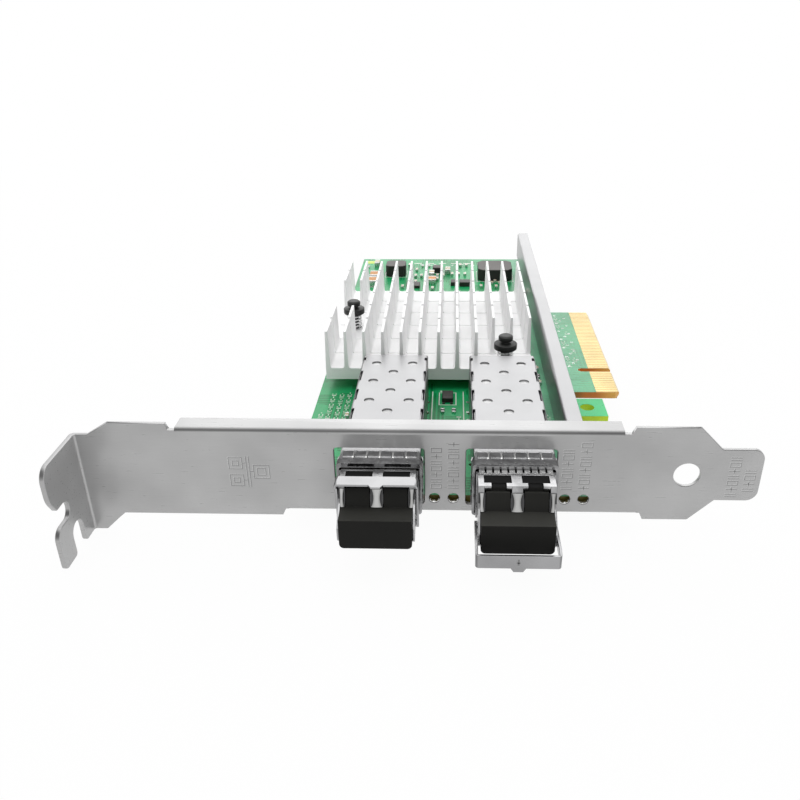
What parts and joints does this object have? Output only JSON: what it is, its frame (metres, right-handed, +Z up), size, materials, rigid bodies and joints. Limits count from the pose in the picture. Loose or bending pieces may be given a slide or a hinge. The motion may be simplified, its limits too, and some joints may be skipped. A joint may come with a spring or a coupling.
{
  "type": "network interface card",
  "caption": "Low-profile edge-connector network card on a full-height slot bracket, with finned heat sink, optical transceivers, swinging latch bails and dust plugs.",
  "frame": {"origin": "centre of the bracket's round hole, on the bracket's outer face", "axes": "+X along the bracket from its bent tab to its tongue, +Y from the bracket's outer face over the board, +Z up from the board's component side"},
  "size_m": [0.12, 0.1687, 0.0221],
  "materials": {
    "bracket_steel": "satin nickel-plated sheet",
    "screw_steel": "bright plated",
    "board_laminate": "green solder mask, satin",
    "contact_gold": "polished gold plating",
    "rail_steel": "bright plated sheet",
    "sink_aluminium": "clear anodised, fine blasted",
    "pad_soft": "matt gap filler",
    "package_black": "moulded epoxy",
    "pin_plastic": "moulded, satin",
    "spring_steel": "bright wire",
    "cage_steel": "tin-plated sheet",
    "collar_steel": "bright spring sheet",
    "module_zinc": "plated casting",
    "module_board": "green solder mask",
    "optic_steel": "machined",
    "plug_rubber": "soft moulded, satin",
    "bail_steel": "polished stamping",
    "inductor_grey": "pressed iron powder",
    "tantalum_tan": "moulded case",
    "ceramic_tan": "sintered ceramic",
    "resistor_black": "glazed film",
    "crystal_can": "welded lid",
    "lamp_clear": "clear resin"
  },
  "bodies": {
    "root": {"bracket": "bracket_steel", "bracket_screws": "screw_steel", "circuit_board": "board_laminate", "edge_contacts": "contact_gold", "stiffener_rail": "rail_steel", "rail_screws": "screw_steel", "heat_sink": "sink_aluminium", "thermal_pad": "pad_soft", "controller_chip": "package_black", "push_pin_rear": "pin_plastic", "push_pin_front": "pin_plastic", "pin_spring_rear": "spring_steel", "pin_spring_front": "spring_steel", "port_chip": "package_black", "flash_chip": "package_black", "power_inductors": "inductor_grey", "regulator_chips": "package_black", "tantalum_capacitors": "tantalum_tan", "crystal": "crystal_can", "ceramic_capacitors": "ceramic_tan", "chip_resistors": "resistor_black", "underside_capacitors": "ceramic_tan", "indicator_lamps": "lamp_clear", "cage_left": "cage_steel", "collar_left": "collar_steel", "cage_connector_left": "package_black", "module_body_left": "module_zinc", "module_cover_left": "cage_steel", "module_spring_left": "collar_steel", "module_board_left": "module_board", "optics_left": "optic_steel", "dust_plug_left": "plug_rubber", "bail_pin_left": "screw_steel", "cage_right": "cage_steel", "collar_right": "collar_steel", "cage_connector_right": "package_black", "module_body_right": "module_zinc", "module_cover_right": "cage_steel", "module_spring_right": "collar_steel", "module_board_right": "module_board", "optics_right": "optic_steel", "dust_plug_right": "plug_rubber", "bail_pin_right": "screw_steel"},
    "bail_left": {"latch_bail_left": "bail_steel"},
    "slide_left": {"release_slide_left": "bail_steel"},
    "bail_right": {"latch_bail_right": "bail_steel"},
    "slide_right": {"release_slide_right": "bail_steel"}
  },
  "joints": [
    {"name": "bail_hinge_left", "type": "hinge", "parent": "root", "child": "bail_left", "pos_m": [-0.05295, -0.00863, -0.00449], "axis": [1, 0, 0], "range_deg": [0, 87]},
    {"name": "release_travel_left", "type": "slide", "parent": "root", "child": "slide_left", "axis": [0, 1, 0], "range_m": [0, 0.0013]},
    {"name": "bail_hinge_right", "type": "hinge", "parent": "root", "child": "bail_right", "pos_m": [-0.03, -0.00953, -0.00449], "axis": [1, 0, 0], "range_deg": [-87, 0]},
    {"name": "release_travel_right", "type": "slide", "parent": "root", "child": "slide_right", "axis": [0, 1, 0], "range_m": [-0.0013, 0]}
  ],
  "couplings": [
    {"joint": "bail_hinge_left", "follows": "release_travel_left", "rad_per_m": 1168},
    {"joint": "bail_hinge_right", "follows": "release_travel_right", "rad_per_m": 1168}
  ]
}
